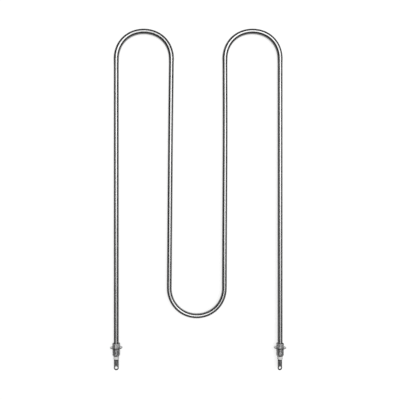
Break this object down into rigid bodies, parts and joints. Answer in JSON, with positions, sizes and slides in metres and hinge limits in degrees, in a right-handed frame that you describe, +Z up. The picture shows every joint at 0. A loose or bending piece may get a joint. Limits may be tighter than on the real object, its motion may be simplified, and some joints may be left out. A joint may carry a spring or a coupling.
{
  "type": "tubular heating element",
  "caption": "Bent metal-sheathed heating element with straight legs joined by return bends, a threaded fitting, ceramic bead and holed lug at each end.",
  "frame": {"origin": "under the middle of the element's box, on the surface that it lies on", "axes": "+X across the legs, +Y along them from the terminals to the top bends, +Z up; the element lies on its two washer rims and its two top bends, tipped by 0.67 degrees about X"},
  "size_m": [0.3224, 0.6255, 0.0225],
  "materials": {
    "sheath_steel": "drawn stainless tube, smooth, dark grey",
    "fitting_steel": "turned and crimped steel, satin",
    "washer_steel": "stamped steel, satin",
    "bead_ceramic": "unglazed steatite, off-white",
    "lug_steel": "stamped strip, dulled, darker at the weld",
    "pin_steel": "drawn steel, bright",
    "winding_wire": "resistance wire, dull",
    "magnesia": "pressed powder, white",
    "seal_resin": "silicone resin, grey"
  },
  "bodies": {
    "root": {"sheath": "sheath_steel", "heating_coil": "winding_wire", "magnesia_powder": "magnesia", "cold_pin_left": "pin_steel", "end_seal_left": "seal_resin", "ceramic_bead_left": "bead_ceramic", "threaded_bushing_left": "fitting_steel", "seating_washer_left": "washer_steel", "terminal_lug_left": "lug_steel", "cold_pin_right": "pin_steel", "end_seal_right": "seal_resin", "ceramic_bead_right": "bead_ceramic", "threaded_bushing_right": "fitting_steel", "seating_washer_right": "washer_steel", "terminal_lug_right": "lug_steel"}
  },
  "joints": []
}
